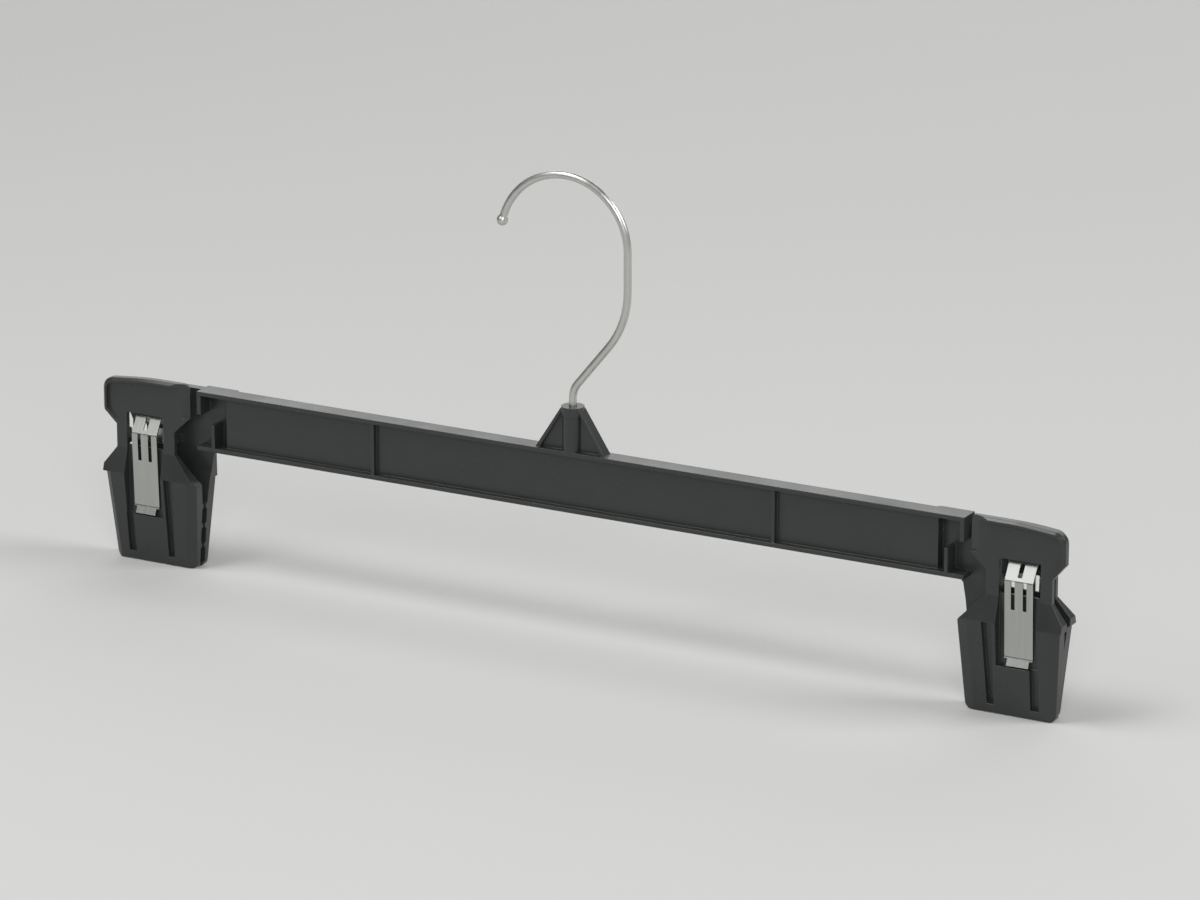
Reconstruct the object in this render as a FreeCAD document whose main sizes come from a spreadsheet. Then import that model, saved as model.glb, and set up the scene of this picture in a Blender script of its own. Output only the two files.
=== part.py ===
"""Skirt hanger: a moulded bar with a swivelling wire hook and a sprung clip at each end.

Millimetres. X runs along the bar, Y from front to back and Z up. The origin lies on the
hook's swivel axis, level with the underside of the hook's crown, where a rail carries it.
"""

import FreeCAD
import Part
import Sketcher
import math
import os
import re

SIZES = {
    # Bar
    "overall_length": 356,
    "bar_height": 20.5,
    "flange_width": 6.5,
    "flange_thickness": 1.4,
    "web_thickness": 1.6,
    "rib_spacing": 148.6,
    "rib_thickness": 1.2,
    "rib_inset": 0.65,
    "recess_length": 10.1,
    "step_wall": 1.6,
    "flange_end_gap": 2.6,
    "lip_height": 8,
    "lip_thickness": 1.5,
    "foot_height": 9.5,
    "foot_thickness": 1.2,
    "foot_offset": 3.3,
    # Neck
    "neck_height": 15,
    "neck_diameter": 7,
    "collar_diameter": 7.6,
    "collar_height": 3,
    "gusset_reach": 12.8,
    "gusset_fall": 0.6,
    "gusset_thickness": 1.6,
    "gusset_rim_width": 4,
    "gusset_rim_thickness": 1,
    "socket_depth": 13,
    # Hook
    "wire_diameter": 2.6,
    "crown_radius": 24.6,
    "crown_offset": 3,
    "crown_end_angle": 166,
    "neck_drop": 75.5,
    "side_lean": 6,
    "shank_rise": 1.6,
    "side_bend_radius": 30,
    "slant_angle": 43.5,
    "neck_bend_radius": 8,
    "tip_diameter": 3.8,
    "ring_groove_depth": 0.35,
    "ring_groove_length": 2,
    "ring_groove_height": 3,
    "running_clearance": 0.05,
    # Clip outline, seen from the front; drops are measured down from the top of the tab
    "clip_height": 65,
    "tab_width": 33.3,
    "tab_rise": 2,
    "tab_fall": 1.6,
    "tab_crown_radius": 100,
    "tab_outer_radius": 4,
    "tab_inner_radius": 2.5,
    "tab_drop": 12,
    "waist_top_drop": 17.5,
    "waist_bottom_drop": 25.5,
    "waist_outer": 12,
    "waist_inner": 10.8,
    "shoulder_drop": 34,
    "shoulder_outer": 16.4,
    "shoulder_inner": 20,
    "shoulder_nub": 2.5,
    "inner_shoulder_fall": 1,
    "jaw_outer": 15.6,
    "tip_outer": 13.4,
    "tip_inner": 18,
    "tip_corner_radius": 2.5,
    "fixed_inset": 0.5,
    "fixed_tab_fall": 3,
    "fixed_tab_inset": 4,
    "fixed_waist_inset": 2,
    "fixed_jaw_inset": 1,
    "fixed_waist_inner": 22,
    "fixed_bar_inner": 24.5,
    # Clip section, seen from the side
    "tab_half_gap": 2.6,
    "plate_thickness": 1.8,
    "rim_height": 1.2,
    "rim_width": 1.5,
    "rim_chamfer": 0.8,
    "shoulder_depth": 6.9,
    "tip_depth": 3.7,
    "tip_round": 1,
    "hollow_drop": 31,
    "grip_drop": 42,
    "grip_gap": 0.3,
    "ridge_radius": 0.95,
    "ridge_pitch": 7,
    "inner_bevel_width": 3.6,
    "outer_bevel_width": 2,
    "tab_bevel_width": 3.2,
    "bevel_depth": 1.2,
    # Flutes in the outer face of each jaw
    "flute_depth": 1.8,
    "outer_flute_edge": 5.2,
    "outer_flute_width": 3,
    "outer_flute_drop": 48,
    "inner_flute_edge": 7.5,
    "inner_flute_width": 3.7,
    "inner_flute_end_width": 2.4,
    "flute_end_gap": 3,
    # Fulcrum
    "fulcrum_drop": 21.5,
    "fulcrum_forward": 1,
    "fulcrum_radius": 1.2,
    "fulcrum_width": 19,
    "socket_block_height": 5.2,
    "socket_lip": 0.4,
    "socket_clearance": 0.06,
    # Spring and the window that it passes through
    "spring_width": 9.8,
    "spring_thickness": 0.5,
    "spring_shift": 0.8,
    "window_side_gap": 2.3,
    "window_top_drop": 12.8,
    "window_sill_drop": 24.5,
    "window_end_drop": 48.2,
    "recess_wall": 0.8,
    "apex_drop": 13.3,
    "apex_half_width": 1,
    "apex_radius": 1.5,
    "bend_drop": 19.7,
    "leg_lean": 1,
    "bend_radius": 1.2,
    "grip_contact_drop": 45,
    "contact_gap": 0.15,
    "lip_length": 2.8,
    "lip_flare": 1.2,
    "lip_radius": 2,
    "lip_inset": 1.1,
    "slot_width": 1.3,
    "slot_end_drop": 29,
    "tongue_width": 2.8,
    "apex_slot_width": 1.6,
    "apex_slot_margin": 1.2,
}

# Places worked out from the sizes
NECK_TOP = "(-neck_drop)"
BAR_TOP = "(-neck_drop - neck_height)"
BAR_BOTTOM = "(-neck_drop - neck_height - bar_height)"
TAB_TOP = "(tab_rise - neck_drop - neck_height)"
CLIP_CENTRE = "((overall_length - tab_width) / 2)"
FLANGE_END = f"({CLIP_CENTRE} - tab_width / 2 - flange_end_gap)"
STEP = f"({FLANGE_END} - recess_length)"
PLATE_START = "(-tab_width / 2 - flange_end_gap - recess_length - step_wall)"
PLATE_DEPTH = "(tab_half_gap + plate_thickness)"
RIM_DEPTH = "(tab_half_gap + plate_thickness + rim_height)"
GRIP_DEPTH = "(grip_gap / 2 + ridge_radius)"
JAW_SLOPE = "((shoulder_depth - tip_depth) / (clip_height - shoulder_drop))"
WINDOW_WIDTH = "(spring_width + 2 * window_side_gap)"
RECESS_DEPTH = "(tab_half_gap + recess_wall)"
CONTACT_DEPTH = f"({RECESS_DEPTH} + contact_gap + spring_thickness / 2)"
BLANK_WIDTH = "(4 * tab_width + 4 * recess_length)"
SHANK_TOP = "(shank_rise - neck_drop)"
WIRE_END = "(running_clearance - neck_drop - socket_depth)"
RING_BOTTOM = f"({WIRE_END} + ring_groove_height)"

FRONT = -1
REAR = 1

document = FreeCAD.newDocument("skirt_hanger")
sheet = document.addObject("Spreadsheet::Sheet", "Sizes")
for row, (size_name, size_value) in enumerate(SIZES.items(), start=1):
    sheet.set(f"A{row}", size_name)
    sheet.set(f"B{row}", str(size_value))
    sheet.setAlias(f"B{row}", size_name)
working = document.addObject("Spreadsheet::Sheet", "Working")
document.recompute()


def formula(text):
    """Point every size name in a formula at its cell in the sheet."""
    return re.sub(r"[a-z_]+", lambda word: "Sizes." + word[0] if word[0] in SIZES else word[0], text)


def measure(text):
    """Work out a formula's value in millimetres or degrees."""
    working.set("A1", "=" + formula(text))
    working.recompute()
    return float(working.get("A1"))


def new_body(name):
    """Start a sub-part whose label is its node's name."""
    body = document.addObject("PartDesign::Body", name)
    body.Label = name
    return body


def origin_plane(body, role):
    """Find one of a body's own origin planes."""
    return next(feature for feature in body.Origin.OriginFeatures if feature.Role == role)


def new_sketch(body, name, role, offset=("0", "0", "0"), tilt="0"):
    """Put a sketch on an origin plane, moved along the plane's own axes and tilted about its X."""
    sketch = body.newObject("Sketcher::SketchObject", name)
    sketch.AttachmentSupport = [(origin_plane(body, role), "")]
    sketch.MapMode = "FlatFace"
    sketch.AttachmentOffset = FreeCAD.Placement(FreeCAD.Vector(), FreeCAD.Vector(1, 0, 0), measure(tilt))
    for axis, place in zip("xyz", offset):
        sketch.setExpression(f"AttachmentOffset.Base.{axis}", formula(place))
    return sketch


def constrain(sketch, entries):
    """Add constraints, binding those that come with a formula to the sheet."""
    numbers = sketch.addConstraint([constraint for constraint, text in entries])
    for number, (constraint, text) in zip(numbers, entries):
        if text:
            sketch.setExpression(f"Constraints[{number}]", formula(text))


def fix_point(geometry, vertex, across, up):
    """Hold one vertex at a place given by two formulas."""
    return [
        (Sketcher.Constraint("DistanceX", -1, 1, geometry, vertex, measure(across)), across),
        (Sketcher.Constraint("DistanceY", -1, 1, geometry, vertex, measure(up)), up),
    ]


def draw_circle(sketch, across, up, radius):
    """Draw a circle with its centre and radius bound to formulas."""
    centre = FreeCAD.Vector(measure(across), measure(up), 0)
    circle = sketch.addGeometry(Part.Circle(centre, FreeCAD.Vector(0, 0, 1), measure(radius)))
    entries = fix_point(circle, 3, across, up)
    entries.append((Sketcher.Constraint("Radius", circle, measure(radius)), radius))
    constrain(sketch, entries)


def draw_lines(sketch, corners, closed=True):
    """Draw lines through corners given as formulas; a corner's third formula rounds it."""
    places = [FreeCAD.Vector(measure(corner[0]), measure(corner[1]), 0) for corner in corners]
    count = len(corners)
    arrivals = list(places)
    departures = list(places)
    arcs = {}
    for number, corner in enumerate(corners):
        if len(corner) < 3:
            continue
        radius = measure(corner[2])
        back = (places[number - 1] - places[number]).normalize()
        ahead = (places[(number + 1) % count] - places[number]).normalize()
        half_angle = back.getAngle(ahead) / 2
        reach = radius / math.tan(half_angle)
        arrivals[number] = places[number] + back * reach
        departures[number] = places[number] + ahead * reach
        centre = places[number] + (back + ahead).normalize() * (radius / math.sin(half_angle))
        left_turn = back.cross(ahead).z < 0
        first, last = (arrivals, departures) if left_turn else (departures, arrivals)
        angles = [math.atan2(end[number].y - centre.y, end[number].x - centre.x) for end in (first, last)]
        circle = Part.Circle(centre, FreeCAD.Vector(0, 0, 1), radius)
        arc = sketch.addGeometry(Part.ArcOfCircle(circle, angles[0], angles[1]))
        marker = sketch.addGeometry(Part.Point(places[number]), True)
        arcs[number] = (arc, marker, 1 if left_turn else 2)

    line_count = count if closed else count - 1
    lines = []
    for number in range(line_count):
        segment = Part.LineSegment(departures[number], arrivals[(number + 1) % count])
        lines.append(sketch.addGeometry(segment))

    entries = []
    for number, corner in enumerate(corners):
        has_before = closed or number > 0
        has_after = closed or number < count - 1
        before = lines[number - 1] if has_before else None
        after = lines[number] if has_after else None
        if number in arcs:
            arc, marker, entry_vertex = arcs[number]
            entries += fix_point(marker, 1, corner[0], corner[1])
            entries.append((Sketcher.Constraint("PointOnObject", marker, 1, before), None))
            entries.append((Sketcher.Constraint("PointOnObject", marker, 1, after), None))
            entries.append((Sketcher.Constraint("Tangent", before, 2, arc, entry_vertex), None))
            entries.append((Sketcher.Constraint("Tangent", after, 1, arc, 3 - entry_vertex), None))
            entries.append((Sketcher.Constraint("Radius", arc, measure(corner[2])), corner[2]))
        elif has_after:
            entries += fix_point(after, 1, corner[0], corner[1])
            if has_before:
                entries.append((Sketcher.Constraint("Coincident", before, 2, after, 1), None))
        else:
            entries += fix_point(before, 2, corner[0], corner[1])
    constrain(sketch, entries)


def draw_box(sketch, left, bottom, right, top):
    """Draw a rectangle between two opposite corners."""
    draw_lines(sketch, [(left, bottom), (right, bottom), (right, top), (left, top)])


def pad(body, name, sketch, length, symmetric=False, backwards=False):
    """Add a prism of the sketch."""
    feature = body.newObject("PartDesign::Pad", name)
    feature.Profile = sketch
    feature.SideType = "Symmetric" if symmetric else "One side"
    feature.Reversed = backwards
    feature.setExpression("Length", formula(length))
    document.recompute()
    return feature


def check_cut(body, volume, name):
    """Stop if a cut took nothing away."""
    document.recompute()
    if body.Shape.Volume > volume - 1e-3:
        raise RuntimeError(f"{name} cuts nothing")


def pocket(body, name, sketch, length, symmetric=False, backwards=False):
    """Cut a prism of the sketch away."""
    volume = body.Shape.Volume
    feature = body.newObject("PartDesign::Pocket", name)
    feature.Profile = sketch
    feature.SideType = "Symmetric" if symmetric else "One side"
    feature.Reversed = backwards
    feature.setExpression("Length", formula(length))
    check_cut(body, volume, name)
    return feature


def revolve(body, name, kind, sketch):
    """Turn the sketch about its own vertical axis, as a Revolution or a Groove."""
    feature = body.newObject(f"PartDesign::{kind}", name)
    feature.Profile = sketch
    feature.ReferenceAxis = (sketch, ["V_Axis"])
    feature.Angle = 360
    return feature


def mirror(body, name, role):
    """Repeat everything made so far on the other side of an origin plane."""
    feature = body.newObject("PartDesign::Mirrored", name)
    feature.MirrorPlane = (origin_plane(body, role), [""])
    feature.TransformMode = "Whole shape"
    body.Tip = feature
    document.recompute()
    return feature


def drop(text):
    """Turn a drop below the top of the tab into a height in a clip's sketch."""
    return f"(-({text}))"


def clip_front_sketch(body, name, depth="0", tilt="0", fall="0"):
    """Start a sketch that faces the clip, with its origin at the middle of the tab's top edge."""
    return new_sketch(body, name, "XZ_Plane", (CLIP_CENTRE, f"{TAB_TOP} - {fall}", depth), tilt)


def clip_side_sketch(body, name, shift="0"):
    """Start a sketch across the clip, in depth and height, with its origin at the tab's top."""
    return new_sketch(body, name, "YZ_Plane", ("0", TAB_TOP, f"{CLIP_CENTRE} + {shift}"))


def bevel(body, name, facing, inward, width, ends):
    """Cut a flat bevel along an edge of a clip's outer face, between its two ends.

    Each end gives the edge's place across the clip, its depth and its drop. The bevel's plane meets
    the side bevel_depth below the face and the face one width in, and the cut runs past both.
    """
    volume = body.Shape.Volume
    sections = []
    for across, depth, fall in ends:
        section = new_sketch(body, name + "_section", "XY_Plane", (CLIP_CENTRE, "0", f"{TAB_TOP} - {fall}"))
        draw_lines(section, [
            (f"{across} - {inward} * {width} / 2", f"{facing} * ({depth} - 1.5 * bevel_depth)"),
            (f"{across} + {inward} * {width} * 3", f"{facing} * ({depth} + 2 * bevel_depth)"),
            (f"{across} - {inward} * {width} / 2", f"{facing} * ({depth} + 2 * bevel_depth)"),
        ])
        sections.append(section)
    feature = body.newObject("PartDesign::SubtractiveLoft", name)
    feature.Profile = sections[0]
    feature.Sections = sections[1:]
    feature.Ruled = True
    check_cut(body, volume, name)


def chamfer_rim(body, facing):
    """Chamfer the edges where the tab rim's face meets the walls that the outline cut."""
    base = body.Tip
    face_place = facing * measure(RIM_DEPTH)
    wall_depth = measure("1.5 * rim_height")
    edge_names = []
    for number, edge in enumerate(body.Shape.Edges, start=1):
        span = edge.BoundBox
        if max(abs(span.YMin - face_place), abs(span.YMax - face_place)) > 0.01:
            continue
        walls = body.Shape.ancestorsOfType(edge, Part.Face)
        if max(wall.BoundBox.YLength for wall in walls) > wall_depth:
            edge_names.append(f"Edge{number}")
    chamfer = body.newObject("PartDesign::Chamfer", "rim_chamfer")
    chamfer.Base = (base, edge_names)
    chamfer.setExpression("Size", formula("rim_chamfer"))
    document.recompute()


def edge_fall(inset):
    """How far a tab's top edge has fallen at its outer corner, at the full tab's slope."""
    return f"(tab_fall * (1 - 2 * {inset} / tab_width))"


def make_jaw(body, facing, top, top_edge, inner_edge, tab_inset="0", waist_inset="0", jaw_inset="0"):
    """Shape one half of a clip: its section across the clip, cut to its outline from the front."""

    def depth(text):
        return f"({facing} * ({text}))"

    # Section: a tab with a raised rim, a thin waist and a jaw that tapers to the tip
    section = clip_side_sketch(body, "jaw_section")
    profile = [
        ("tab_half_gap", top),
        (RIM_DEPTH, top),
        (RIM_DEPTH, "tab_drop"),
        (PLATE_DEPTH, "waist_top_drop"),
        (PLATE_DEPTH, "waist_bottom_drop"),
        ("shoulder_depth", "shoulder_drop"),
        ("tip_depth", "clip_height", "tip_round"),
        (GRIP_DEPTH, "clip_height"),
        (GRIP_DEPTH, "grip_drop"),
        ("tab_half_gap", "hollow_drop"),
    ]
    draw_lines(section, [(depth(corner[0]), drop(corner[1])) + corner[2:] for corner in profile])
    pad(body, "jaw_blank", section, BLANK_WIDTH, symmetric=True)

    # Half-round ridges across the inner face grip the cloth
    ridges = clip_side_sketch(body, "ridge_section")
    ridge_reach = measure("clip_height - ridge_radius - grip_drop")
    for number in range(int(ridge_reach // measure("ridge_pitch")) + 1):
        ridge_drop = f"clip_height - ridge_radius - {number} * ridge_pitch"
        draw_circle(ridges, depth(GRIP_DEPTH), drop(ridge_drop), "ridge_radius")
    pad(body, "ridges", ridges, BLANK_WIDTH, symmetric=True)

    # Outline from the front: tab, waist, shoulder and tapering jaw
    outline = clip_front_sketch(body, "jaw_outline")
    margin = f"({BLANK_WIDTH})"
    draw_box(outline, f"-{margin}", drop(margin), margin, margin)
    outer_edge = [
        (f"tab_width / 2 - {tab_inset}", drop("tab_drop")),
        (f"waist_outer - {waist_inset}", drop("waist_top_drop")),
        (f"waist_outer - {waist_inset}", drop("waist_bottom_drop")),
        (f"shoulder_outer - {jaw_inset}", drop("shoulder_drop - shoulder_nub")),
        (f"shoulder_outer - {jaw_inset}", drop("shoulder_drop")),
        (f"jaw_outer - {jaw_inset}", drop("shoulder_drop")),
        (f"tip_outer - {jaw_inset}", drop("clip_height"), "tip_corner_radius"),
    ]
    draw_lines(outline, top_edge + outer_edge + inner_edge)
    pocket(body, "outline_cut", outline, f"2 * {RIM_DEPTH} + 2 * clip_height", symmetric=True)

    # The tab's outer face is a shallow tray: a rim stands along its top and outer edges only
    tray = clip_front_sketch(body, "tray_outline", f"{-facing} * {RIM_DEPTH}")
    tray_outer = f"tab_width / 2 - {tab_inset} - rim_width"
    draw_lines(tray, [
        ("-tab_width", drop(f"{top} + rim_width")),
        ("0", drop(f"{top} + rim_width"), "tab_crown_radius"),
        (tray_outer, drop(f"{top} + rim_width + {edge_fall(tab_inset)}"), "tab_outer_radius - rim_width"),
        (tray_outer, drop("tab_drop")),
        (f"waist_outer - {waist_inset} - rim_width", drop("waist_top_drop")),
        ("-tab_width", drop("waist_top_drop")),
    ])
    pocket(body, "tray", tray, "rim_height", backwards=facing == REAR)


def flute_jaw(body, facing, inner_outset="0", jaw_inset="0"):
    """Cut the spring's window and the flutes into a jaw's outer face, and bevel its inner edge."""

    def depth(text):
        return f"({facing} * ({text}))"

    # The window goes through the waist, and its lower part is a recess for the spring's leg
    window = clip_side_sketch(body, "window_section", "spring_shift")
    clear = f"(2 * {RIM_DEPTH})"
    draw_lines(window, [
        (depth("-tab_half_gap"), drop("window_top_drop")),
        (depth(clear), drop("window_top_drop")),
        (depth(clear), drop("window_end_drop")),
        (depth(RECESS_DEPTH), drop("window_end_drop")),
        (depth(RECESS_DEPTH), drop("window_sill_drop")),
        (depth("-tab_half_gap"), drop("window_sill_drop")),
    ])
    pocket(body, "window", window, WINDOW_WIDTH, symmetric=True)

    # Flutes lie in the sloping face below the shoulder
    tilt = f"{-facing} * atan({JAW_SLOPE})"
    flutes = clip_front_sketch(body, "flute_outline", f"{-facing} * shoulder_depth", tilt, "shoulder_drop")
    flute_end = "(shoulder_drop + flute_end_gap - clip_height)"
    draw_box(flutes, "outer_flute_edge", flute_end,
             "outer_flute_edge + outer_flute_width", "shoulder_drop - outer_flute_drop")
    draw_lines(flutes, [
        ("-inner_flute_edge - inner_flute_width", "0"),
        ("-inner_flute_edge - inner_flute_end_width", flute_end),
        ("-inner_flute_edge", flute_end),
        ("-inner_flute_edge", "0"),
    ])
    pocket(body, "flutes", flutes, "flute_depth", backwards=facing == REAR)

    # Bevels soften the sloping face's long edges
    bevel(body, "inner_bevel", facing, 1, "inner_bevel_width", [
        (f"-shoulder_inner - {inner_outset}", "shoulder_depth", "shoulder_drop"),
        (f"-tip_inner - {inner_outset}", "tip_depth", "clip_height"),
    ])
    bevel(body, "outer_bevel", facing, -1, "outer_bevel_width", [
        (f"jaw_outer - {jaw_inset}", "shoulder_depth", "shoulder_drop"),
        (f"tip_outer - {jaw_inset}", "tip_depth", "clip_height"),
    ])


# Hook: bent wire with a ball at its tip, and a ring groove that the neck's bead snaps into
hook = new_body("swivel_hook")
hook_path = new_sketch(hook, "hook_path", "XZ_Plane")
crown = FreeCAD.Vector(measure("-crown_offset"), measure("wire_diameter / 2 - crown_radius"), 0)
lean = math.radians(measure("side_lean"))
slant = math.radians(measure("slant_angle"))
crown_end = math.radians(measure("crown_end_angle"))
crown_radius = measure("crown_radius")
side_bend_radius = measure("side_bend_radius")
neck_bend_radius = measure("neck_bend_radius")
sketch_normal = FreeCAD.Vector(0, 0, 1)
side_normal = FreeCAD.Vector(math.cos(lean), -math.sin(lean), 0)
slant_normal = FreeCAD.Vector(math.cos(slant), -math.sin(slant), 0)
slant_way = FreeCAD.Vector(math.sin(slant), math.cos(slant), 0)
side_top = crown + side_normal * crown_radius
shank_foot = FreeCAD.Vector(0, measure(WIRE_END), 0)
shank_top = FreeCAD.Vector(0, measure(SHANK_TOP), 0)
neck_centre = shank_top + FreeCAD.Vector(neck_bend_radius, 0, 0)
slant_foot = neck_centre - slant_normal * neck_bend_radius
span = side_top - slant_foot + (slant_normal - side_normal) * side_bend_radius
slant_length = (span.x * math.cos(lean) - span.y * math.sin(lean)) / math.sin(slant - lean)
slant_top = slant_foot + slant_way * slant_length
bend_centre = slant_top - slant_normal * side_bend_radius
side_bottom = bend_centre + side_normal * side_bend_radius
shank = hook_path.addGeometry(Part.LineSegment(shank_foot, shank_top))
neck_bend = hook_path.addGeometry(
    Part.ArcOfCircle(Part.Circle(neck_centre, sketch_normal, neck_bend_radius), math.pi - slant, math.pi))
slant_run = hook_path.addGeometry(Part.LineSegment(slant_foot, slant_top))
side_bend = hook_path.addGeometry(
    Part.ArcOfCircle(Part.Circle(bend_centre, sketch_normal, side_bend_radius), -slant, -lean))
side_run = hook_path.addGeometry(Part.LineSegment(side_bottom, side_top))
crown_arc = hook_path.addGeometry(
    Part.ArcOfCircle(Part.Circle(crown, sketch_normal, crown_radius), -lean, crown_end))
side_reach = "crown_radius * cos(side_lean)"
slant_reach = "side_bend_radius * cos(slant_angle)"
crown_tip_rise = "crown_radius * sin(crown_end_angle)"
constrain(hook_path, fix_point(shank, 1, "0", WIRE_END))
constrain(hook_path, fix_point(crown_arc, 3, "-crown_offset", "wire_diameter / 2 - crown_radius"))
constrain(hook_path, [
    (Sketcher.Constraint("Vertical", shank), None),
    (Sketcher.Constraint("Tangent", shank, 2, neck_bend, 2), None),
    (Sketcher.Constraint("Tangent", neck_bend, 1, slant_run, 1), None),
    (Sketcher.Constraint("Tangent", slant_run, 2, side_bend, 1), None),
    (Sketcher.Constraint("Tangent", side_bend, 2, side_run, 1), None),
    (Sketcher.Constraint("Tangent", side_run, 2, crown_arc, 1), None),
    (Sketcher.Constraint("Radius", neck_bend, neck_bend_radius), "neck_bend_radius"),
    (Sketcher.Constraint("Radius", side_bend, side_bend_radius), "side_bend_radius"),
    (Sketcher.Constraint("Radius", crown_arc, crown_radius), "crown_radius"),
    (Sketcher.Constraint("DistanceY", -1, 1, shank, 2, measure(SHANK_TOP)), SHANK_TOP),
    (Sketcher.Constraint("DistanceX", crown_arc, 3, crown_arc, 1, measure(side_reach)), side_reach),
    (Sketcher.Constraint("DistanceX", side_bend, 3, side_bend, 1, measure(slant_reach)), slant_reach),
    (Sketcher.Constraint("DistanceY", crown_arc, 3, crown_arc, 2, measure(crown_tip_rise)), crown_tip_rise),
])
wire_section = new_sketch(hook, "wire_section", "XY_Plane", ("0", "0", WIRE_END))
draw_circle(wire_section, "0", "0", "wire_diameter / 2")
wire = hook.newObject("PartDesign::AdditivePipe", "wire")
wire.Profile = wire_section
wire.Spine = (hook_path, [])
document.recompute()
tip_ball = hook.newObject("PartDesign::AdditiveSphere", "tip_ball")
tip_ball.AttachmentSupport = [(origin_plane(hook, "XZ_Plane"), "")]
tip_ball.MapMode = "FlatFace"
tip_ball.setExpression("Radius", formula("tip_diameter / 2"))
tip_ball.setExpression("AttachmentOffset.Base.x",
                       formula("crown_radius * cos(crown_end_angle) - crown_offset"))
tip_ball.setExpression("AttachmentOffset.Base.y",
                       formula(f"{crown_tip_rise} + wire_diameter / 2 - crown_radius"))
ring_section = new_sketch(hook, "ring_groove_section", "XZ_Plane")
draw_box(ring_section, "wire_diameter / 2 - ring_groove_depth", RING_BOTTOM,
         "wire_diameter", f"{RING_BOTTOM} + ring_groove_length")
document.recompute()
wire_volume = hook.Shape.Volume
revolve(hook, "ring_groove", "Groove", ring_section)
check_cut(hook, wire_volume, "ring_groove")

# Moving front jaw of the right-hand clip, with socket blocks that rock on the fixed jaw's noses
front_jaw = new_body("right_front_jaw")
make_jaw(
    front_jaw, FRONT, "0",
    [
        ("-tab_width / 2", "0", "tab_inner_radius"),
        ("0", "0", "tab_crown_radius"),
        ("tab_width / 2", drop("tab_fall"), "tab_outer_radius"),
    ],
    [
        ("-tip_inner", drop("clip_height"), "tip_corner_radius"),
        ("-shoulder_inner", drop("shoulder_drop + inner_shoulder_fall")),
        ("-waist_inner", drop("waist_bottom_drop")),
        ("-waist_inner", drop("waist_top_drop")),
        ("-tab_width / 2", drop("tab_drop")),
    ],
)
chamfer_rim(front_jaw, FRONT)
socket_block = clip_side_sketch(front_jaw, "socket_block_section")
draw_box(socket_block, f"-{PLATE_DEPTH}", drop("fulcrum_drop + socket_block_height / 2"),
         "-fulcrum_forward - socket_lip", drop("fulcrum_drop - socket_block_height / 2"))
pad(front_jaw, "socket_blocks", socket_block, "fulcrum_width", symmetric=True)
socket_round = clip_side_sketch(front_jaw, "socket_round_section")
draw_circle(socket_round, "-fulcrum_forward", drop("fulcrum_drop"), "fulcrum_radius + socket_clearance")
pocket(front_jaw, "socket_rounds", socket_round, "2 * fulcrum_width", symmetric=True)
flute_jaw(front_jaw, FRONT)
bevel(front_jaw, "tab_bevel", FRONT, 1, "tab_bevel_width", [
    ("-tab_width / 2", PLATE_DEPTH, "(-rim_width)"),
    ("-tab_width / 2", PLATE_DEPTH, "tab_drop"),
])

# Hanger body: the fixed jaw first, then half of the bar, then the mirror image, then the neck
hanger = new_body("hanger_body")
make_jaw(
    hanger, REAR, "fixed_tab_fall",
    [
        (PLATE_START, drop("fixed_tab_fall")),
        ("0", drop("fixed_tab_fall"), "tab_crown_radius"),
        ("tab_width / 2 - fixed_tab_inset",
         drop(f"fixed_tab_fall + {edge_fall('fixed_tab_inset')}"), "tab_outer_radius"),
    ],
    [
        ("-tip_inner - fixed_inset", drop("clip_height"), "tip_corner_radius"),
        ("-shoulder_inner - fixed_inset", drop("shoulder_drop")),
        ("-fixed_waist_inner", drop("waist_bottom_drop")),
        ("-fixed_bar_inner", drop("tab_rise + bar_height")),
        (PLATE_START, drop("tab_rise + bar_height")),
    ],
    "fixed_tab_inset", "fixed_waist_inset", "fixed_jaw_inset",
)
fulcrum_rib = clip_side_sketch(hanger, "fulcrum_rib_section")
draw_box(fulcrum_rib, "-fulcrum_forward", drop("fulcrum_drop + fulcrum_radius"),
         PLATE_DEPTH, drop("fulcrum_drop - fulcrum_radius"))
pad(hanger, "fulcrum_ribs", fulcrum_rib, "fulcrum_width", symmetric=True)
fulcrum_nose = clip_side_sketch(hanger, "fulcrum_nose_section")
draw_circle(fulcrum_nose, "-fulcrum_forward", drop("fulcrum_drop"), "fulcrum_radius")
pad(hanger, "fulcrum_noses", fulcrum_nose, "fulcrum_width", symmetric=True)
flute_jaw(hanger, REAR, "fixed_inset", "fixed_jaw_inset")

web = new_sketch(hanger, "web_outline", "XZ_Plane")
draw_box(web, "0", BAR_BOTTOM, STEP, BAR_TOP)
pad(hanger, "web", web, "web_thickness", symmetric=True)
flange_bases = {"top_flange": f"{BAR_TOP} - flange_thickness", "bottom_flange": BAR_BOTTOM}
for flange_name, flange_base in flange_bases.items():
    flange = new_sketch(hanger, flange_name + "_outline", "XY_Plane", ("0", "0", flange_base))
    draw_lines(flange, [
        ("0", "-flange_width / 2"),
        (FLANGE_END, "-flange_width / 2"),
        (FLANGE_END, PLATE_DEPTH),
        (f"{STEP} - step_wall", PLATE_DEPTH),
        (f"{STEP} - step_wall - {PLATE_DEPTH} + flange_width / 2", "flange_width / 2"),
        ("0", "flange_width / 2"),
    ])
    pad(hanger, flange_name, flange, "flange_thickness")
rib = new_sketch(hanger, "rib_outline", "XZ_Plane")
draw_box(rib, "(rib_spacing - rib_thickness) / 2", BAR_BOTTOM,
         "(rib_spacing + rib_thickness) / 2", BAR_TOP)
pad(hanger, "rib", rib, "flange_width - 2 * rib_inset", symmetric=True)
step = new_sketch(hanger, "step_outline", "XY_Plane", ("0", "0", BAR_BOTTOM))
draw_box(step, f"{STEP} - step_wall", "-web_thickness / 2", STEP, PLATE_DEPTH)
pad(hanger, "step", step, "bar_height")
lip = new_sketch(hanger, "lip_outline", "XY_Plane", ("0", "0", f"{BAR_TOP} - lip_height"))
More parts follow.
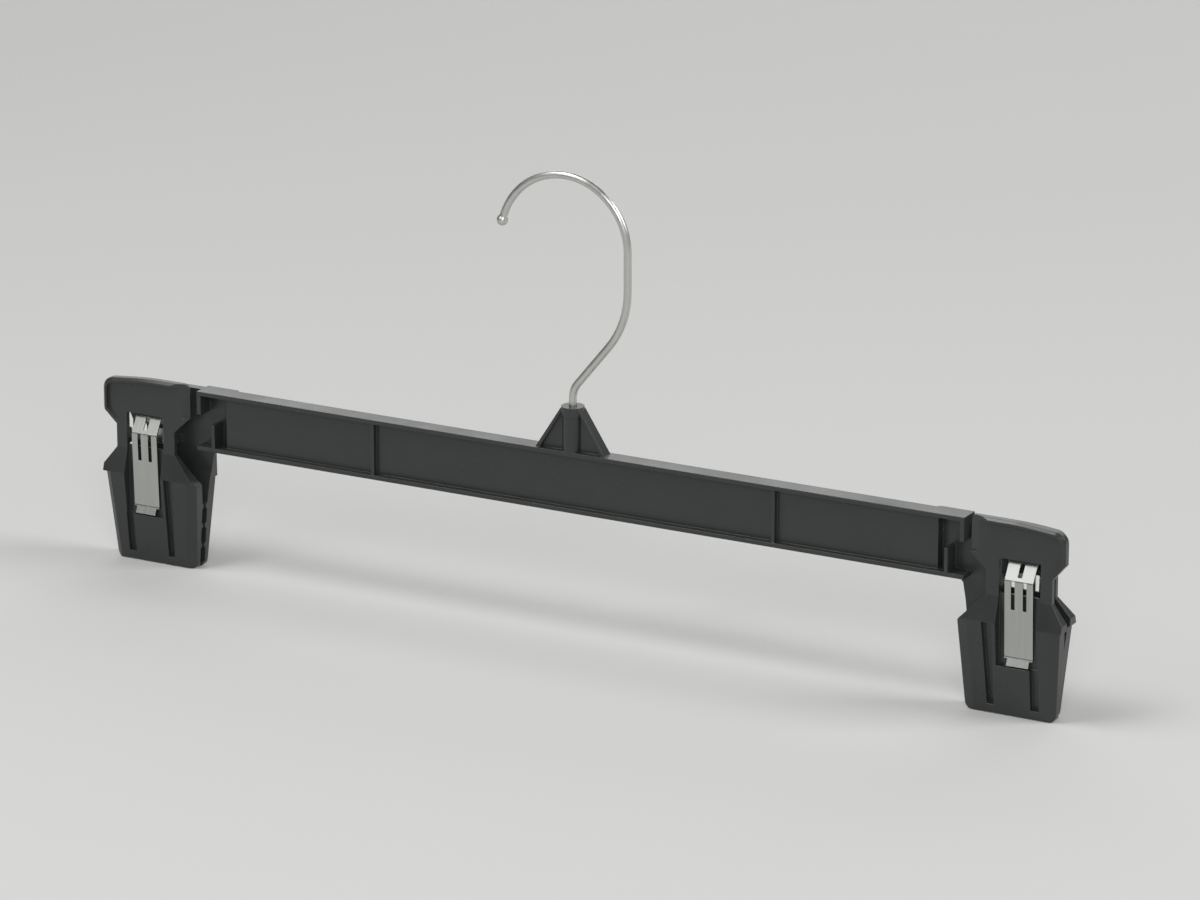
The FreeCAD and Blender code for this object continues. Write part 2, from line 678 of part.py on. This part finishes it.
draw_box(lip, f"{FLANGE_END} - lip_thickness", "-flange_width / 2", FLANGE_END, PLATE_DEPTH)
pad(hanger, "lip", lip, "lip_height")
foot = new_sketch(hanger, "foot_outline", "XY_Plane", ("0", "0", BAR_BOTTOM))
draw_box(foot, f"{STEP} + foot_offset", "-flange_width / 2",
         f"{STEP} + foot_offset + foot_thickness", PLATE_DEPTH)
pad(hanger, "foot", foot, "foot_height")
mirror(hanger, "other_end", "YZ_Plane")

# Neck: a round boss for the hook, braced by a gusset with a rim along each sloping edge
gusset = new_sketch(hanger, "gusset_outline", "XZ_Plane")
gusset_top = f"({NECK_TOP} - gusset_fall)"
collar_base = f"({NECK_TOP} - collar_height)"
draw_lines(gusset, [
    ("-gusset_reach", BAR_TOP),
    ("gusset_reach", BAR_TOP),
    ("neck_diameter / 2", gusset_top),
    ("-neck_diameter / 2", gusset_top),
])
pad(hanger, "gusset", gusset, "gusset_thickness", symmetric=True)
gusset_rim = new_sketch(hanger, "gusset_rim_outline", "XZ_Plane")
for side in (-1, 1):
    draw_lines(gusset_rim, [
        (f"{side} * gusset_reach", BAR_TOP),
        (f"{side} * neck_diameter / 2", gusset_top),
        (f"{side} * (neck_diameter / 2 - gusset_rim_thickness)", gusset_top),
        (f"{side} * (gusset_reach - 1.5 * gusset_rim_thickness)", BAR_TOP),
    ])
pad(hanger, "gusset_rims", gusset_rim, "gusset_rim_width", symmetric=True)
neck = new_sketch(hanger, "neck_section", "XZ_Plane")
draw_lines(neck, [
    ("0", f"{BAR_TOP} - flange_thickness"),
    ("neck_diameter / 2", f"{BAR_TOP} - flange_thickness"),
    ("neck_diameter / 2", collar_base),
    ("collar_diameter / 2", collar_base),
    ("collar_diameter / 2", NECK_TOP),
    ("0", NECK_TOP),
])
revolve(hanger, "neck", "Revolution", neck)
socket_radius = "(wire_diameter / 2 + running_clearance)"
bead_radius = "(wire_diameter / 2 - ring_groove_depth + running_clearance)"
socket = new_sketch(hanger, "socket_section", "XZ_Plane")
draw_lines(socket, [
    ("0", f"{NECK_TOP} + collar_height"),
    (socket_radius, f"{NECK_TOP} + collar_height"),
    (socket_radius, f"{RING_BOTTOM} + ring_groove_length - running_clearance"),
    (bead_radius, f"{RING_BOTTOM} + ring_groove_length - running_clearance"),
    (bead_radius, f"{RING_BOTTOM} + running_clearance"),
    (socket_radius, f"{RING_BOTTOM} + running_clearance"),
    (socket_radius, f"{NECK_TOP} - socket_depth"),
    ("0", f"{NECK_TOP} - socket_depth"),
])
document.recompute()
neck_volume = hanger.Shape.Volume
revolve(hanger, "socket", "Groove", socket)
check_cut(hanger, neck_volume, "socket")

# Spring: one steel strip bent into a peak, with a leg on the outer face of each jaw
spring = new_body("right_spring")
spring_path = clip_side_sketch(spring, "spring_path", "spring_shift")
draw_lines(spring_path, [
    ("0", drop("apex_drop")),
    ("-apex_half_width", drop("apex_drop"), "apex_radius"),
    (f"-({CONTACT_DEPTH} + leg_lean)", drop("bend_drop"), "bend_radius"),
    (f"-{CONTACT_DEPTH}", drop("grip_contact_drop"), "lip_radius"),
    (f"-({CONTACT_DEPTH} + lip_flare)", drop("grip_contact_drop + lip_length")),
], closed=False)
strip_section = new_sketch(spring, "strip_section", "XZ_Plane",
                           (f"{CLIP_CENTRE} + spring_shift", f"{TAB_TOP} - apex_drop", "0"))
draw_box(strip_section, "-spring_width / 2", "-spring_thickness / 2",
         "spring_width / 2", "spring_thickness / 2")
strip = spring.newObject("PartDesign::AdditivePipe", "strip")
strip.Profile = strip_section
strip.Spine = (spring_path, [])
document.recompute()
mirror(spring, "rear_leg", "XZ_Plane")
slots = new_sketch(spring, "slot_outline", "XZ_Plane", (f"{CLIP_CENTRE} + spring_shift", TAB_TOP, "0"))
for side in (-1, 1):
    draw_box(slots, f"{side} * tongue_width / 2", drop("slot_end_drop"),
             f"{side} * (tongue_width / 2 + slot_width)", drop("bend_drop"))
    draw_box(slots, f"{side} * (spring_width / 2 - lip_inset)", drop("grip_contact_drop + 2 * lip_length"),
             f"{side} * spring_width", drop("grip_contact_drop + lip_length / 4"))
draw_box(slots, "-apex_slot_width / 2", drop("bend_drop - apex_slot_margin"),
         "apex_slot_width / 2", drop("apex_drop + apex_slot_margin"))
pocket(spring, "slots", slots, f"4 * ({CONTACT_DEPTH} + leg_lean)", symmetric=True)

# The left-hand clip is the right-hand one's mirror image
mirrored_parts = []
for source, left_name in ((front_jaw, "left_front_jaw"), (spring, "left_spring")):
    copy = document.addObject("Part::Mirroring", left_name)
    copy.Label = left_name
    copy.Source = source
    copy.Normal = FreeCAD.Vector(1, 0, 0)
    mirrored_parts.append(copy)
document.recompute()

for item in document.Objects:
    if "Invalid" in item.State or "Error" in item.State:
        raise RuntimeError(f"{item.Label} failed: {item.State}")
sub_parts = [hanger, hook, front_jaw, spring] + mirrored_parts
for sub_part in sub_parts:
    if sub_part.Shape.isNull() or not sub_part.Shape.isValid() or len(sub_part.Shape.Solids) != 1:
        raise RuntimeError(f"{sub_part.Label} is not one valid solid")

os.makedirs("parts", exist_ok=True)
for sub_part in sub_parts:
    sub_part.Shape.exportStep(f"parts/{sub_part.Label}.step")
    print(sub_part.Label, round(sub_part.Shape.Volume, 1), sub_part.Shape.BoundBox)
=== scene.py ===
"""Looks of the skirt hanger, in metres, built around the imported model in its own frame."""

import math

import bmesh
import bpy
import numpy as np
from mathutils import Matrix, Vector


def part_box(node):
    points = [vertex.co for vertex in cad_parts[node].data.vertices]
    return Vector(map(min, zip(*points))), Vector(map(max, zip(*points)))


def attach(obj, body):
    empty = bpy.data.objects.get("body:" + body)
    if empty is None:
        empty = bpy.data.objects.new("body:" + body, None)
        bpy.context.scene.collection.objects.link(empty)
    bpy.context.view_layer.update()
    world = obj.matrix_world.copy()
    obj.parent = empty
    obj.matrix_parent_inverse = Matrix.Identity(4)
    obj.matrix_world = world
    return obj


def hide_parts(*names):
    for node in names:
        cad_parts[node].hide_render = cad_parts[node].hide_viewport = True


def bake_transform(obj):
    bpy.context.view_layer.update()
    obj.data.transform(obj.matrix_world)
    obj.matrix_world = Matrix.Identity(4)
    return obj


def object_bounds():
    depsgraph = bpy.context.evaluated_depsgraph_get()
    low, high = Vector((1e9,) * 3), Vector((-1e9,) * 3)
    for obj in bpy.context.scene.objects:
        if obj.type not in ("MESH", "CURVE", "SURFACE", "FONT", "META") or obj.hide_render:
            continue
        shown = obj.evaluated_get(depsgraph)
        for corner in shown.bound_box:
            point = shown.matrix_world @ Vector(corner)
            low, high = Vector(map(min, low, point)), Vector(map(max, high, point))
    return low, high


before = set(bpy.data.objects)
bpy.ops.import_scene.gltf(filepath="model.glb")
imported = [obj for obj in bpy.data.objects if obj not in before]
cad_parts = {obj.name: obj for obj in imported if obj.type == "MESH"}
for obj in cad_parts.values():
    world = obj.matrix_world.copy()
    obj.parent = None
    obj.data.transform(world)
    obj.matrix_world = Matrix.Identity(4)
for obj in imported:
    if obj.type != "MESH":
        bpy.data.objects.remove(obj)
cad_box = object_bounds()


# Hanger body: the bar, the neck and both fixed jaws are one injection moulding in recycled black
# polypropylene. The hook, the front jaws and the springs are all fixed to it.

MM = 0.001

# A Mix node's colour sockets go by number. Each finish's roughness follows its noise from low to high.
MIX_FIRST = 6
MIX_SECOND = 7
MIX_RESULT = 2
NOISE_LOW = 0.3
NOISE_HIGH = 0.7


def linear(hex_colour):
    """Turn an sRGB hex colour to linear: c / 12.92 up to 0.04045, else ((c + 0.055) / 1.055) ** 2.4."""
    channels = np.array([int(hex_colour[i:i + 2], 16) for i in (1, 3, 5)]) / 255
    toe = channels / 12.92
    curve = ((channels + 0.055) / 1.055) ** 2.4
    return (*np.where(channels <= 0.04045, toe, curve).tolist(), 1.0)


def add_node(tree, kind, inputs, **settings):
    """Add a shader node, apply its settings, and set or link its inputs by name or number."""
    node = tree.nodes.new("ShaderNode" + kind)
    for name, value in settings.items():
        setattr(node, name, value)
    for name, value in inputs.items():
        if isinstance(value, bpy.types.NodeSocket):
            tree.links.new(value, node.inputs[name])
        else:
            node.inputs[name].default_value = value
    return node


def new_material(name):
    """Start a material that holds only its output node."""
    material = bpy.data.materials.new(name)
    material.use_nodes = True
    material.node_tree.nodes.clear()
    return material, material.node_tree, add_node(material.node_tree, "OutputMaterial", {})


# Moulded polypropylene is satin: soft wide highlights over a fine spark-eroded grain, with cloudy
# flow marks from the regrind, and a lighter grey along its edges that is partly a rub and partly a
# painted highlight. The real grain is about 0.1 mm wide, and it is drawn coarser so that it shows.
FLOW_MARK = 14 * MM
GRAIN = 1.2 * MM
GRAIN_DEPTH = 0.03 * MM
SCUFF = 1.6 * MM
EDGE_RUB_AND_HIGHLIGHT = 0.35 * MM
BLACK_RESIN = "#292c2b"
GREY_REGRIND = "#343736"
# The edges' lighter grey: partly a rub, partly a painted highlight.
RUBBED_AND_HIGHLIGHTED_EDGE = "#4c4f4d"

polypropylene, tree, output = new_material("recycled_black_polypropylene")
place = add_node(tree, "TexCoord", {}).outputs["Object"]
flow = add_node(
    tree, "TexNoise",
    {"Vector": place, "Scale": 1 / FLOW_MARK, "Detail": 4.0, "Roughness": 0.55},
)
grain = add_node(tree, "TexNoise", {"Vector": place, "Scale": 1 / GRAIN, "Detail": 2.0})
scuff = add_node(
    tree, "TexNoise",
    {"Vector": place, "Scale": 1 / SCUFF, "Detail": 3.0, "Roughness": 0.6},
)
tint = add_node(
    tree, "Mix",
    {"Factor": flow.outputs["Fac"], MIX_FIRST: linear(BLACK_RESIN), MIX_SECOND: linear(GREY_REGRIND)},
    data_type="RGBA",
)

# The edges are where a normal rounded over the rub's width leaves the face's own normal. The lighter
# grey laid there is partly a patchy rub and partly a painted highlight on the edges.
rounded = add_node(tree, "Bevel", {"Radius": EDGE_RUB_AND_HIGHLIGHT}, samples=6)
facing = add_node(tree, "NewGeometry", {})
alike = add_node(
    tree, "VectorMath",
    {0: rounded.outputs["Normal"], 1: facing.outputs["Normal"]},
    operation="DOT_PRODUCT",
)
edge = add_node(
    tree, "MapRange",
    {"Value": alike.outputs["Value"], "From Min": 0.99, "From Max": 0.8, "To Min": 0.0, "To Max": 1.0},
)
# Painted edge highlight mixed with a patchy rub, where the edge mask meets the scuff noise.
rub_and_highlight = add_node(
    tree, "Math",
    {0: edge.outputs["Result"], 1: scuff.outputs["Fac"]},
    operation="MULTIPLY",
)
worn_and_highlighted = add_node(
    tree, "Mix",
    {
        "Factor": rub_and_highlight.outputs["Value"],
        MIX_FIRST: tint.outputs[MIX_RESULT],
        MIX_SECOND: linear(RUBBED_AND_HIGHLIGHTED_EDGE),
    },
    data_type="RGBA",
)
roughness = add_node(
    tree, "MapRange",
    {
        "Value": flow.outputs["Fac"],
        "From Min": NOISE_LOW,
        "From Max": NOISE_HIGH,
        "To Min": 0.26,
        "To Max": 0.36,
    },
)
bump = add_node(
    tree, "Bump",
    {
        "Height": grain.outputs["Fac"],
        "Strength": 0.3,
        "Distance": GRAIN_DEPTH,
        "Normal": rounded.outputs["Normal"],
    },
)
skin = add_node(
    tree, "BsdfPrincipled",
    {
        "Base Color": worn_and_highlighted.outputs[MIX_RESULT],
        "Roughness": roughness.outputs["Result"],
        "IOR": 1.49,
        "Normal": bump.outputs["Normal"],
    },
)
tree.links.new(skin.outputs["BSDF"], output.inputs["Surface"])
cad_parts["hanger_body"].data.materials[0] = polypropylene


# Swivel hook: one length of bent steel wire with a ball at its tip, zinc plated and left bright. It is
# pressed into the neck's socket, where a ring groove holds it while it turns.

WIRE_RADIUS = 1.3 * MM
CROWN_RADIUS = 23.3 * MM
CROWN_OFFSET = 3.2 * MM
CROWN_SWEEP = math.radians(163)
SIDE_CORNER_DROP = 45.5 * MM
SIDE_BEND_RADIUS = 30 * MM
NECK_CORNER_DROP = 70 * MM
NECK_BEND_RADIUS = 8 * MM
TIP_RADIUS = 1.9 * MM
GROOVE_HEIGHT = 3 * MM
GROOVE_LENGTH = 2 * MM
GROOVE_DEPTH = 0.35 * MM
WIRE_STEP = 2 * MM
BEND_POINTS = 9
CROWN_STEPS = 64
TIP_STEPS = 12
WIRE_SIDES = 32
SAME_POINT = 0.001 * MM


def rounded_path(corners, radii, step):
    """Points along straight runs joined by tangent arcs.

    An arc of radius r at a corner with half angle a between its runs starts r / tan(a) before the
    corner, and its centre lies r / sin(a) from the corner along the bisector.
    """
    corners = np.array(corners, float)
    stretches = []
    start = corners[0]
    for before, corner, after, radius in zip(corners, corners[1:], corners[2:], radii):
        back = (before - corner) / np.linalg.norm(before - corner)
        ahead = (after - corner) / np.linalg.norm(after - corner)
        half = math.acos(np.clip(back @ ahead, -1, 1)) / 2
        entry = corner + back * radius / math.tan(half)
        exit_point = corner + ahead * radius / math.tan(half)
        bisector = (back + ahead) / np.linalg.norm(back + ahead)
        centre = corner + bisector * radius / math.sin(half)
        sweep = np.linspace(-1, 1, BEND_POINTS)[:, None] * (math.pi / 2 - half)
        side = (ahead - back) / np.linalg.norm(ahead - back)
        arc = centre + radius * (np.sin(sweep) * side - np.cos(sweep) * bisector)
        count = max(2, int(np.linalg.norm(entry - start) / step))
        stretches.append(start + np.linspace(0, 1, count, endpoint=False)[:, None] * (entry - start))
        stretches.append(arc[:-1])
        start = exit_point
    count = max(2, int(np.linalg.norm(corners[-1] - start) / step))
    stretches.append(start + np.linspace(0, 1, count)[:, None] * (corners[-1] - start))
    return np.concatenate(stretches)


def bent_wire(name, low, high):
    """Carry a circle along the bent wire, from its foot in the socket to the ball at its tip.

    A point is centre + radius * (cos(turn) * normal + sin(turn) * y). The crown's centres are its
    middle + radius * (cos(sweep), sin(sweep)). At an angle from the ball's axis the radius is
    ball * sin(angle), and the centre lies ball * cos(angle) short of the ball's middle.
    """
    groove_foot = low.z + GROOVE_HEIGHT
    groove_top = groove_foot + GROOVE_LENGTH
    groove_radius = WIRE_RADIUS - GROOVE_DEPTH
    stem_levels = [low.z, low.z, groove_foot, groove_foot, groove_top, groove_top]
    stem_radii = [0, WIRE_RADIUS, WIRE_RADIUS, groove_radius, groove_radius, WIRE_RADIUS]
    stem = np.column_stack([np.zeros(len(stem_levels)), stem_levels])

    crown_level = high.z - WIRE_RADIUS - CROWN_RADIUS
    side_reach = CROWN_RADIUS - CROWN_OFFSET
    run = rounded_path(
        [
            (0, groove_top),
            (0, -NECK_CORNER_DROP),
            (side_reach, -SIDE_CORNER_DROP),
            (side_reach, crown_level),
        ],
        [NECK_BEND_RADIUS, SIDE_BEND_RADIUS],
        WIRE_STEP,
    )
    sweep = np.linspace(0, CROWN_SWEEP, CROWN_STEPS)[1:, None]
    crown = (-CROWN_OFFSET, crown_level) + CROWN_RADIUS * np.hstack([np.cos(sweep), np.sin(sweep)])
    path = np.concatenate([run[1:], crown])
    way = np.gradient(path, axis=0)
    way /= np.linalg.norm(way, axis=1, keepdims=True)
    angle = np.linspace(math.asin(WIRE_RADIUS / TIP_RADIUS), math.pi, TIP_STEPS)[:, None]
    ball = path[-1] + way[-1] * TIP_RADIUS * (np.cos(angle[0]) - np.cos(angle[1:]))

    centre = np.concatenate([stem, path, ball])
    way = np.concatenate([np.tile((0, 1), (len(stem), 1)), way, np.tile(way[-1], (len(ball), 1))])
    ball_radii = TIP_RADIUS * np.sin(angle[1:, 0])
    radius = np.concatenate([stem_radii, np.full(len(path), WIRE_RADIUS), ball_radii])[:, None]
    turn = np.linspace(0, 2 * math.pi, WIRE_SIDES, endpoint=False)
    outward = radius * np.cos(turn)
    x = centre[:, :1] - outward * way[:, 1:]
    y = radius * np.sin(turn)
    z = centre[:, 1:] + outward * way[:, :1]
    points = np.stack([x, y, z], axis=-1)

    number = np.arange(len(centre) * WIRE_SIDES).reshape(-1, WIRE_SIDES)
    beside = np.roll(number, -1, axis=1)
    faces = np.stack([number[:-1], number[1:], beside[1:], beside[:-1]], axis=-1)
    mesh = bpy.data.meshes.new(name)
    mesh.from_pydata(points.reshape(-1, 3).tolist(), [], faces.reshape(-1, 4).tolist())
    closed = bmesh.new()
    closed.from_mesh(mesh)
    bmesh.ops.remove_doubles(closed, verts=closed.verts, dist=SAME_POINT)
    closed.to_mesh(mesh)
    closed.free()
    mesh.shade_smooth()
    hook = bpy.data.objects.new(name, mesh)
    bpy.context.scene.collection.objects.link(hook)
    return hook


# Bright zinc on drawn wire is a clouded satin metal: light grey, with long highlights along the bends.
PLATING_CLOUD = 3 * MM
DULL_ZINC = "#c0c1be"
BRIGHT_ZINC = "#d2d3cf"

zinc, tree, output = new_material("bright_zinc_plated_wire")
place = add_node(tree, "TexCoord", {}).outputs["Object"]
cloud = add_node(tree, "TexNoise", {"Vector": place, "Scale": 1 / PLATING_CLOUD, "Detail": 3.0})
tint = add_node(
    tree, "Mix",
    {"Factor": cloud.outputs["Fac"], MIX_FIRST: linear(DULL_ZINC), MIX_SECOND: linear(BRIGHT_ZINC)},
    data_type="RGBA",
)
roughness = add_node(
    tree, "MapRange",
    {
        "Value": cloud.outputs["Fac"],
        "From Min": NOISE_LOW,
        "From Max": NOISE_HIGH,
        "To Min": 0.3,
        "To Max": 0.4,
    },
)
plate = add_node(
    tree, "BsdfPrincipled",
    {
        "Base Color": tint.outputs[MIX_RESULT],
        "Metallic": 1.0,
        "Roughness": roughness.outputs["Result"],
    },
)
tree.links.new(plate.outputs["BSDF"], output.inputs["Surface"])

hook_wire = bent_wire("swivel_hook_wire", *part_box("swivel_hook"))
hook_wire.data.materials.append(zinc)
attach(hook_wire, "hook")
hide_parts("swivel_hook")


# Front jaws: the moving half of each clip, moulded in the body's own polypropylene. Each one is laid
# on the noses of its fixed jaw, where it rocks, and only the spring holds it there.

for side in ("left", "right"):
    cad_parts[side + "_front_jaw"].data.materials[0] = polypropylene


# Springs: each clip's spring is one strip of bright spring steel bent into a peak. It passes through
# the window of both jaws, and a leg lies on each jaw's outer face. The real spring bends as the clip
# opens; here it is built in its rest shape only.

STRIP_THICKNESS = 0.5 * MM
APEX_HALF_WIDTH = 1.0 * MM
APEX_RADIUS = 1.5 * MM
BEND_REACH = 4.8 * MM
BEND_DROP = 6.4 * MM
BEND_RADIUS = 1.2 * MM
CONTACT_REACH = 3.8 * MM
CONTACT_DROP = 31.7 * MM
LIP_RADIUS = 2.0 * MM
LIP_FLARE = 1.2 * MM
LIP_LENGTH = 2.8 * MM
LIP_INSET = 1.1 * MM
LIP_NOTCH_DROP = CONTACT_DROP + LIP_LENGTH / 4
SLOT_WIDTH = 1.3 * MM
SLOT_END_DROP = 15.7 * MM
TONGUE_WIDTH = 2.8 * MM
APEX_SLOT_WIDTH = 1.6 * MM
APEX_SLOT_MARGIN = 1.2 * MM
STRIP_STEP = 0.2 * MM


def spring_strip(name, low, high):
    """Carry a straight line across the strip along its bent path, and leave out the slots' cells.

    A point is (middle + across, reach, top - drop), with reach and drop from the rounded path.
    """
    middle = (low.x + high.x) / 2
    half_width = (high.x - low.x) / 2
    leg = rounded_path(
        [
            (0, 0),
            (APEX_HALF_WIDTH, 0),
            (BEND_REACH, BEND_DROP),
            (CONTACT_REACH, CONTACT_DROP),
            (CONTACT_REACH + LIP_FLARE, CONTACT_DROP + LIP_LENGTH),
        ],
        [APEX_RADIUS, BEND_RADIUS, LIP_RADIUS],
        STRIP_STEP,
    )
    path = np.concatenate([leg[:0:-1], leg * (-1, 1)])
    apex_slot_edge = APEX_SLOT_WIDTH / 2
    tongue_edge = TONGUE_WIDTH / 2
    slot_edge = tongue_edge + SLOT_WIDTH
    lip_edge = half_width - LIP_INSET
    half_columns = np.array([0, apex_slot_edge, tongue_edge, slot_edge, lip_edge, half_width])
    columns = np.concatenate([-half_columns[:0:-1], half_columns])
    across, reach = np.meshgrid(columns, path[:, 0])
    drop = np.repeat(path[:, 1:], len(columns), axis=1)
    top = high.z - STRIP_THICKNESS / 2
    points = np.stack([middle + across, reach, top - drop], axis=-1)

    number = np.arange(across.size).reshape(across.shape)
    faces = np.stack([number[:-1, :-1], number[:-1, 1:], number[1:, 1:], number[1:, :-1]], axis=-1)
    cell_across = np.abs((columns[1:] + columns[:-1]) / 2)[None, :]
    cell_drop = ((path[1:, 1] + path[:-1, 1]) / 2)[:, None]
    beside_tongue = (cell_across > tongue_edge) & (cell_across < slot_edge)
    in_slot = beside_tongue & (cell_drop > BEND_DROP) & (cell_drop < SLOT_END_DROP)
    at_lip = (cell_across > lip_edge) & (cell_drop > LIP_NOTCH_DROP)
    on_slope = (cell_drop > APEX_SLOT_MARGIN) & (cell_drop < BEND_DROP - APEX_SLOT_MARGIN)
    at_apex = (cell_across < apex_slot_edge) & on_slope
    kept = faces[~(in_slot | at_lip | at_apex)]

    mesh = bpy.data.meshes.new(name)
    mesh.from_pydata(points.reshape(-1, 3).tolist(), [], kept.tolist())
    mesh.validate()
    strip = bpy.data.objects.new(name, mesh)
    bpy.context.scene.collection.objects.link(strip)
    walls = strip.modifiers.new("thickness", "SOLIDIFY")
    walls.thickness = STRIP_THICKNESS
    walls.offset = 0
    return strip


# Cold rolled spring steel is bright, with faint streaks along the strip from the rolls. The real
# streaks are about 0.1 mm wide, and they are drawn wider so that they show.
ROLLING_STREAK = 1.2 * MM
STREAK_LENGTH = 20 * MM
STREAK_DEPTH = 0.02 * MM
GREY_STEEL = "#abada9"
BRIGHT_STEEL = "#bcbeba"

spring_steel, tree, output = new_material("bright_spring_steel")
place = add_node(tree, "TexCoord", {}).outputs["Object"]
drawn_out = ROLLING_STREAK / STREAK_LENGTH
streak_place = add_node(tree, "Mapping", {"Vector": place, "Scale": (1.0, drawn_out, drawn_out)})
streak = add_node(
    tree, "TexNoise",
    {"Vector": streak_place.outputs["Vector"], "Scale": 1 / ROLLING_STREAK, "Detail": 3.0},
)
tint = add_node(
    tree, "Mix",
    {"Factor": streak.outputs["Fac"], MIX_FIRST: linear(GREY_STEEL), MIX_SECOND: linear(BRIGHT_STEEL)},
    data_type="RGBA",
)
roughness = add_node(
    tree, "MapRange",
    {
        "Value": streak.outputs["Fac"],
        "From Min": NOISE_LOW,
        "From Max": NOISE_HIGH,
        "To Min": 0.2,
        "To Max": 0.25,
    },
)
bump = add_node(
    tree, "Bump",
    {"Height": streak.outputs["Fac"], "Strength": 0.05, "Distance": STREAK_DEPTH},
)
rolled = add_node(
    tree, "BsdfPrincipled",
    {
        "Base Color": tint.outputs[MIX_RESULT],
        "Metallic": 1.0,
        "Roughness": roughness.outputs["Result"],
        "Normal": bump.outputs["Normal"],
    },
)
tree.links.new(rolled.outputs["BSDF"], output.inputs["Surface"])

for side in ("left", "right"):
    spring_node = side + "_spring"
    strip = spring_strip(side + "_spring_strip", *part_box(spring_node))
    strip.data.materials.append(spring_steel)
    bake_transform(strip)
    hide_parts(spring_node)


# Floor: a plain matt sheet of pale grey paper under the jaws' tips, wide enough to fill the view. It
# is not part of the object, and only takes the object's shadow.

FLOOR_HALF_WIDTH = 6.0
PALE_GREY = "#c8c8c6"

floor_level = cad_box[0].z
floor_corners = np.array([(-1, -1), (1, -1), (1, 1), (-1, 1)]) * FLOOR_HALF_WIDTH
floor_mesh = bpy.data.meshes.new("floor")
floor_mesh.from_pydata([(x, y, floor_level) for x, y in floor_corners.tolist()], [], [(0, 1, 2, 3)])
floor = bpy.data.objects.new("floor", floor_mesh)
bpy.context.scene.collection.objects.link(floor)
paper, tree, output = new_material("pale_grey_paper")
sheet = add_node(tree, "BsdfPrincipled", {"Base Color": linear(PALE_GREY), "Roughness": 0.9})
tree.links.new(sheet.outputs["BSDF"], output.inputs["Surface"])
floor_mesh.materials.append(paper)


# Light: large softboxes at the back right and the front right, a wide one behind for the sheen of the
# top faces, one overhead for the rims, a dim one at the front left for the springs, and a dim world.

WORLD_GREY = "#c8c8c8"
WORLD_STRENGTH = 0.35
centre = (cad_box[0] + cad_box[1]) / 2


def softbox(name, place, width, height, power):
    """A rectangular lamp that faces the middle of the object, in metres and watts."""
    lamp = bpy.data.lights.new(name, "AREA")
    lamp.shape = "RECTANGLE"
    lamp.size = width
    lamp.size_y = height
    lamp.energy = power
    holder = bpy.data.objects.new(name, lamp)
    holder.location = place
    holder.rotation_euler = (centre - Vector(place)).to_track_quat("-Z", "Y").to_euler()
    bpy.context.scene.collection.objects.link(holder)


softbox("key_softbox", place=(1.7, 0.55, 1.15), width=0.9, height=0.9, power=22)
softbox("front_softbox", place=(1.0, -1.7, 0.9), width=0.8, height=0.8, power=16)
softbox("back_softbox", place=(-0.5, 1.7, 0.7), width=2.4, height=1.0, power=11)
softbox("top_softbox", place=(-0.6, -0.5, 1.4), width=0.7, height=0.7, power=13)
softbox("spring_softbox", place=(-0.7, -1.15, 0.85), width=0.6, height=0.8, power=2.6)
world = bpy.data.worlds.new("studio")
world.use_nodes = True
background = world.node_tree.nodes["Background"]
background.inputs["Color"].default_value = linear(WORLD_GREY)
background.inputs["Strength"].default_value = WORLD_STRENGTH
bpy.context.scene.world = world


# Camera: at the photograph's viewing angle, from the object's right front and a little above it, with
# a long lens. Lens and sensor are in millimetres.

AZIMUTH = math.radians(29)
ELEVATION = math.radians(17)
DISTANCE = 2.05
AIM = Vector((0.010, 0, -0.089))
LENS = 190
SENSOR_WIDTH = 36
FAR_LIMIT = 50

towards_camera = Vector((
    math.sin(AZIMUTH) * math.cos(ELEVATION),
    -math.cos(AZIMUTH) * math.cos(ELEVATION),
    math.sin(ELEVATION),
))
camera_data = bpy.data.cameras.new("camera")
camera_data.lens = LENS
camera_data.sensor_width = SENSOR_WIDTH
camera_data.clip_end = FAR_LIMIT
camera = bpy.data.objects.new("camera", camera_data)
camera.location = centre + towards_camera * DISTANCE
camera.rotation_euler = (AIM - camera.location).to_track_quat("-Z", "Y").to_euler()
bpy.context.scene.collection.objects.link(camera)
bpy.context.scene.camera = camera
bpy.context.scene.view_settings.view_transform = "Standard"
